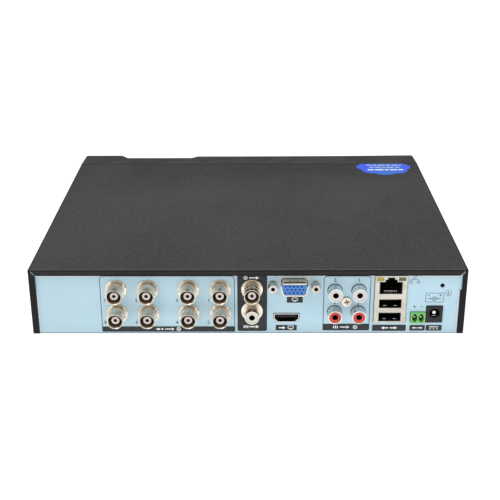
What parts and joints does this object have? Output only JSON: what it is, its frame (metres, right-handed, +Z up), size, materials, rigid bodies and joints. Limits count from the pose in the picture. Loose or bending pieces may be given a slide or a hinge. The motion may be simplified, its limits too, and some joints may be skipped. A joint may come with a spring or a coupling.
{
  "type": "video recorder",
  "caption": "Flat steel-cased video recorder with rear bayonet, phono, monitor, network and power sockets, a moulded front, and a hard disk drive inside.",
  "frame": {"origin": "middle of the whole object's footprint, sockets included, at the soles of the feet", "axes": "+Z up; -Y out of the rear panel with its sockets; +Y out of the moulded front; +X to the right of someone who faces the rear panel"},
  "size_m": [0.256, 0.2284, 0.0455],
  "materials": {
    "cover_paint": "satin",
    "tray_steel": "matte",
    "front_plastic": "satin",
    "window_plastic": "gloss",
    "light_plastic": "gloss",
    "label_film": "satin",
    "foot_rubber": "matte",
    "black_plastic": "satin",
    "white_plastic": "satin",
    "red_plastic": "satin",
    "green_plastic": "satin",
    "nickel": "satin",
    "contact_gold": "satin",
    "board_laminate": "satin",
    "chip_plastic": "matte",
    "sink_aluminium": "satin",
    "screw_steel": "satin",
    "drive_casting": "matte",
    "drive_lid_steel": "satin",
    "disk_mirror": "gloss",
    "insert_blue": "satin"
  },
  "bodies": {
    "case": {"audio_in_housing": "black_plastic", "audio_in_sleeves": "nickel", "audio_out_sleeve": "nickel", "base_tray": "tray_steel", "board_components": "chip_plastic", "board_standoffs": "screw_steel", "buzzer": "black_plastic", "coin_cell": "nickel", "cover_screws": "screw_steel", "data_socket_insert": "black_plastic", "digital_socket_shell": "nickel", "digital_socket_tongue": "black_plastic", "drive_base": "drive_casting", "drive_board": "board_laminate", "drive_cover": "drive_lid_steel", "drive_screws": "screw_steel", "drive_sockets": "black_plastic", "front_bezel": "front_plastic", "heat_sink": "sink_aluminium", "indicator_board": "board_laminate", "indicator_lights": "light_plastic", "ir_window": "window_plastic", "jack_contacts": "contact_gold", "jack_insulators": "white_plastic", "light_pipes": "light_plastic", "mainboard": "board_laminate", "monitor_socket_insulator": "insert_blue", "monitor_socket_jackscrews": "nickel", "monitor_socket_shell": "nickel", "network_contacts": "contact_gold", "network_lights": "light_plastic", "network_socket_insert": "black_plastic", "network_socket_shield": "nickel", "output_jack_housing": "black_plastic", "pan_screws": "screw_steel", "power_jack": "black_plastic", "power_jack_contacts": "nickel", "rear_label": "label_film", "red_audio_inserts": "red_plastic", "rubber_feet": "foot_rubber", "terminal_header": "green_plastic", "terminal_pins": "nickel", "top_cover": "cover_paint", "video_jack_1": "nickel", "video_jack_2": "nickel", "video_jack_3": "nickel", "video_jack_4": "nickel", "video_jack_5": "nickel", "video_jack_6": "nickel", "video_jack_7": "nickel", "video_jack_8": "nickel", "video_jack_housing_1": "black_plastic", "video_jack_housing_2": "black_plastic", "video_jack_housing_3": "black_plastic", "video_jack_housing_4": "black_plastic", "video_out_jack": "nickel", "white_audio_inserts": "white_plastic"},
    "disk_pack": {"drive_disks": "disk_mirror"},
    "head_arm": {"drive_arm": "sink_aluminium"}
  },
  "joints": [
    {"name": "disk_spin", "type": "hinge", "parent": "case", "child": "disk_pack", "pos_m": [0.0465, 0.03565, 0.02], "axis": [0, 0, 1], "continuous": true},
    {"name": "arm_swing", "type": "hinge", "parent": "case", "child": "head_arm", "pos_m": [-0.01, 0.01865, 0.02], "axis": [0, 0, 1], "range_deg": [-37, 0]}
  ]
}
